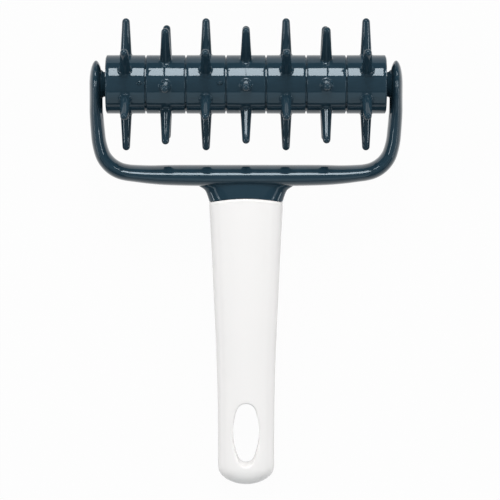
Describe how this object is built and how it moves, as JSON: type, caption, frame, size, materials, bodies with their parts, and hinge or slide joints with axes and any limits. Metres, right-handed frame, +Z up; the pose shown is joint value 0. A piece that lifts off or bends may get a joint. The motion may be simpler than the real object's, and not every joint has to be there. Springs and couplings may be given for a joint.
{
  "type": "dough docker",
  "caption": "Hand roller that pricks rolled dough: spiked rings side by side spin between the arms of a yoke on a flat tapered handle with a hanging hole.",
  "frame": {"origin": "middle of the space the docker fills, on the table it lies on", "axes": "+X along the axle, +Y from the handle to the roller, +Z up"},
  "size_m": [0.1348, 0.2018, 0.0567],
  "materials": {
    "dark_plastic": "dark teal moulded plastic, glossy",
    "white_plastic": "white moulded plastic, glossy",
    "axle_plastic": "plain grey plastic, hidden inside the rings"
  },
  "bodies": {
    "frame": {"yoke": "dark_plastic", "handle": "white_plastic"},
    "roller": {"axle": "axle_plastic", "spike_ring_1": "dark_plastic", "spike_ring_2": "dark_plastic", "spike_ring_3": "dark_plastic", "spike_ring_4": "dark_plastic", "spike_ring_5": "dark_plastic", "spike_ring_6": "dark_plastic", "spike_ring_7": "dark_plastic"}
  },
  "joints": [
    {"name": "roller_spin", "type": "hinge", "parent": "frame", "child": "roller", "pos_m": [0, 0.07254, 0.02835], "axis": [1, 0, 0], "continuous": true}
  ]
}
